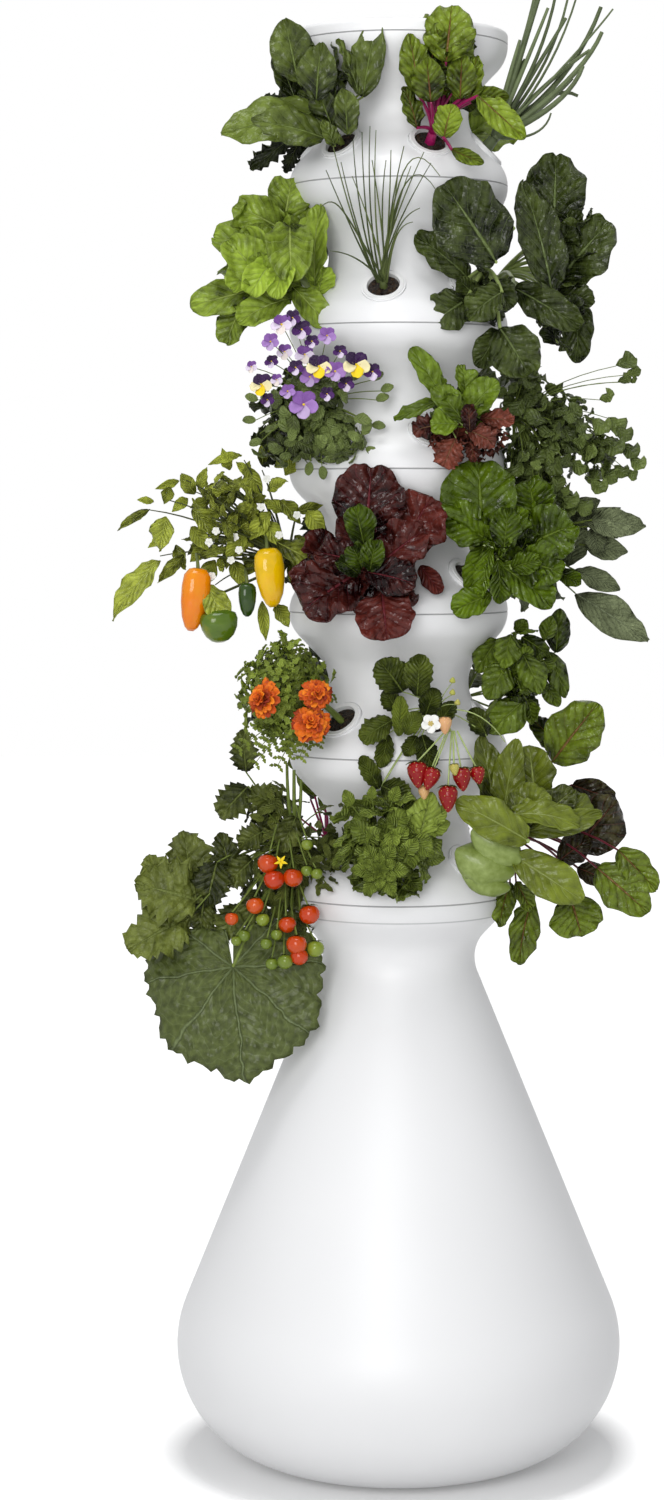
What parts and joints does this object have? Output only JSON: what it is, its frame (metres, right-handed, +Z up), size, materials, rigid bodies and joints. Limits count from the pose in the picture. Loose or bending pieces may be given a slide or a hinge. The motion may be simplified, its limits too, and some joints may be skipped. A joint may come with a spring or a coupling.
{
  "type": "vertical planter tower",
  "caption": "Free-standing vertical garden tower: cone-shaped water reservoir, stacked hourglass tiers with planting ports and plants, a lid and a pump with a riser.",
  "frame": {"origin": "centre of the reservoir's foot, on the floor", "axes": "+Z up along the tower, -Y towards the front, +X to the right"},
  "size_m": [0.6934, 0.594, 1.998],
  "materials": {
    "shell_white": "satin",
    "cup_white": "satin",
    "pipe_white": "satin",
    "growing_medium": "matt",
    "foliage": "satin",
    "pump_black": "matt",
    "black_rubber": "matt",
    "steel": "brushed"
  },
  "bodies": {
    "base": {"reservoir_foot": "shell_white", "reservoir_bowl": "shell_white", "reservoir_cone": "shell_white", "reservoir_neck": "shell_white", "deck_ring": "shell_white", "cable_grommet": "black_rubber", "pump_body": "pump_black", "pump_shaft": "steel", "pump_feet": "black_rubber", "pump_strainer": "pump_black", "pump_outlet": "pump_black", "pump_hose": "black_rubber", "hose_clamps": "steel", "riser_pipe_lower": "pipe_white", "riser_pipe_sections": "pipe_white", "riser_pipe_couplings": "pipe_white", "spray_head": "pipe_white"},
    "impeller": {"pump_impeller": "pump_black"},
    "filling_cap": {"fill_cap": "shell_white", "fill_cap_seal": "black_rubber"},
    "tier_1": {"tier_1_funnel": "shell_white", "tier_1_port_ring": "shell_white", "tier_1_pipe_guide": "pipe_white", "tier_1_net_cups": "cup_white", "tier_1_grow_plugs": "growing_medium", "tier_1_plants": "foliage", "drip_tray": "pipe_white"},
    "tier_2": {"tier_2_funnel": "shell_white", "tier_2_port_ring": "shell_white", "tier_2_pipe_guide": "pipe_white", "tier_2_net_cups": "cup_white", "tier_2_grow_plugs": "growing_medium", "tier_2_plants": "foliage"},
    "tier_3": {"tier_3_funnel": "shell_white", "tier_3_port_ring": "shell_white", "tier_3_pipe_guide": "pipe_white", "tier_3_net_cups": "cup_white", "tier_3_grow_plugs": "growing_medium", "tier_3_plants": "foliage"},
    "tier_4": {"tier_4_funnel": "shell_white", "tier_4_port_ring": "shell_white", "tier_4_pipe_guide": "pipe_white", "tier_4_net_cups": "cup_white", "tier_4_grow_plugs": "growing_medium", "tier_4_plants": "foliage"},
    "tier_5": {"tier_5_funnel": "shell_white", "tier_5_port_ring": "shell_white", "tier_5_pipe_guide": "pipe_white", "tier_5_net_cups": "cup_white", "tier_5_grow_plugs": "growing_medium", "tier_5_plants": "foliage"},
    "tier_6": {"tier_6_funnel": "shell_white", "tier_6_port_ring": "shell_white", "tier_6_pipe_guide": "pipe_white", "tier_6_net_cups": "cup_white", "tier_6_grow_plugs": "growing_medium", "tier_6_plants": "foliage"},
    "lid": {"top_lid": "shell_white"}
  },
  "joints": [
    {"name": "impeller_spin", "type": "hinge", "parent": "base", "child": "impeller", "pos_m": [0, 0, 0.04], "axis": [0, 1, 0], "continuous": true},
    {"name": "filling_cap_pull", "type": "slide", "parent": "base", "child": "filling_cap", "axis": [0, 0.9253, 0.3792], "range_m": [0, 0.06]},
    {"name": "tier_6_lift", "type": "slide", "parent": "base", "child": "tier_6", "axis": [0, 0, 1], "range_m": [0, 0.19]},
    {"name": "tier_5_lift", "type": "slide", "parent": "tier_6", "child": "tier_5", "axis": [0, 0, 1], "range_m": [0, 0.19]},
    {"name": "tier_4_lift", "type": "slide", "parent": "tier_5", "child": "tier_4", "axis": [0, 0, 1], "range_m": [0, 0.19]},
    {"name": "tier_3_lift", "type": "slide", "parent": "tier_4", "child": "tier_3", "axis": [0, 0, 1], "range_m": [0, 0.19]},
    {"name": "tier_2_lift", "type": "slide", "parent": "tier_3", "child": "tier_2", "axis": [0, 0, 1], "range_m": [0, 0.19]},
    {"name": "tier_1_lift", "type": "slide", "parent": "tier_2", "child": "tier_1", "axis": [0, 0, 1], "range_m": [0, 0.19]},
    {"name": "lid_lift", "type": "slide", "parent": "tier_1", "child": "lid", "axis": [0, 0, 1], "range_m": [0, 0.1]}
  ]
}
